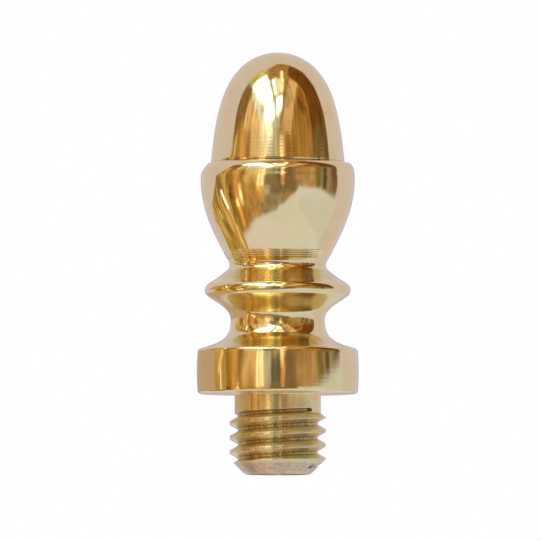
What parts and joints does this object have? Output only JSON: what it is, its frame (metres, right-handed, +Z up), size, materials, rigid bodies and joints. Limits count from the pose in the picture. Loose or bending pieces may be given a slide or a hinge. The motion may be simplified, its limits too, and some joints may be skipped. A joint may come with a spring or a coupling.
{
  "type": "acorn finial",
  "caption": "Turned brass acorn finial with a waisted stem, a ring, a round base flange and a threaded stud below it.",
  "frame": {"origin": "centre of the stud's flat end, on the axis of the lathe", "axes": "+Z up the axis towards the acorn's tip, -Y towards the front, where the thread starts a little to the right"},
  "size_m": [0.0168, 0.0168, 0.0439],
  "materials": {
    "polished_brass": "polished, with the stud left as machined"
  },
  "bodies": {
    "root": {"acorn_finial": "polished_brass"}
  },
  "joints": []
}
